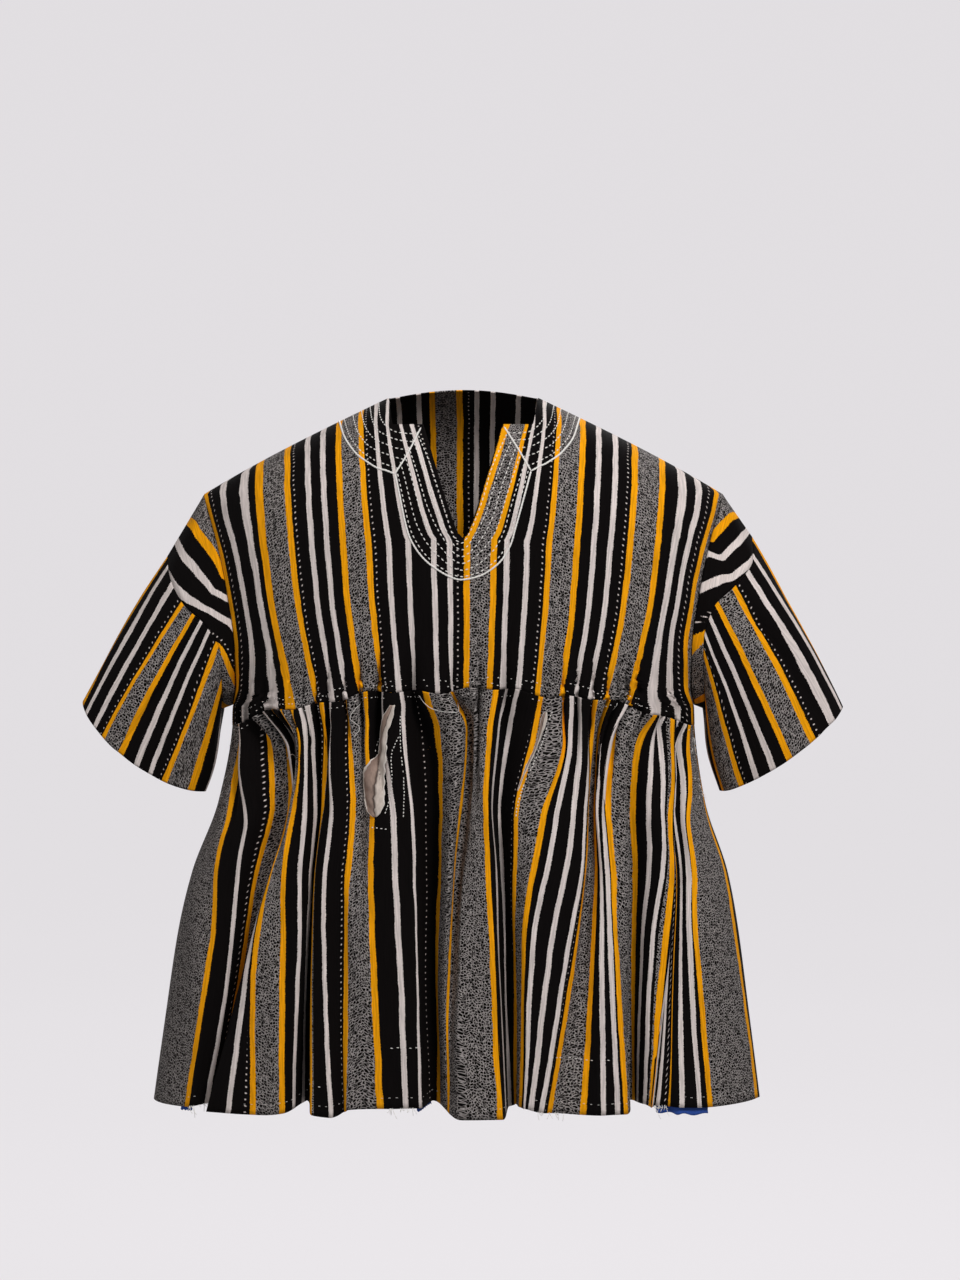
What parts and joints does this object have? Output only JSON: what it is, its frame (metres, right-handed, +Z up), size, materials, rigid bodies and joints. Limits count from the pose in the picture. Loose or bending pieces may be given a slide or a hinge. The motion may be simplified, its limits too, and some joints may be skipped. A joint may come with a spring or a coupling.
{
  "type": "fugu smock",
  "caption": "Short-sleeved smock of sewn striped cloth strips, with a slit neck, plain yoke and gathered skirt, held in its hollow worn form.",
  "frame": {"origin": "on the centre line at shoulder level, where the wearer's shoulders hold the smock", "axes": "+Z up, -Y out of the front of the chest, +X towards the wearer's left sleeve"},
  "size_m": [0.814, 0.2922, 0.7588],
  "materials": {
    "strip_cloth": "matte hand-woven cotton strips in black, grey, orange and white",
    "lining_cotton": "matte plain white cotton"
  },
  "bodies": {
    "root": {"yoke_front": "strip_cloth", "yoke_back": "strip_cloth", "skirt_front": "strip_cloth", "skirt_back": "strip_cloth", "sleeve_band_right": "strip_cloth", "sleeve_flare_right": "strip_cloth", "pocket_lining_right": "lining_cotton", "sleeve_band_left": "strip_cloth", "sleeve_flare_left": "strip_cloth", "pocket_lining_left": "lining_cotton"}
  },
  "joints": []
}
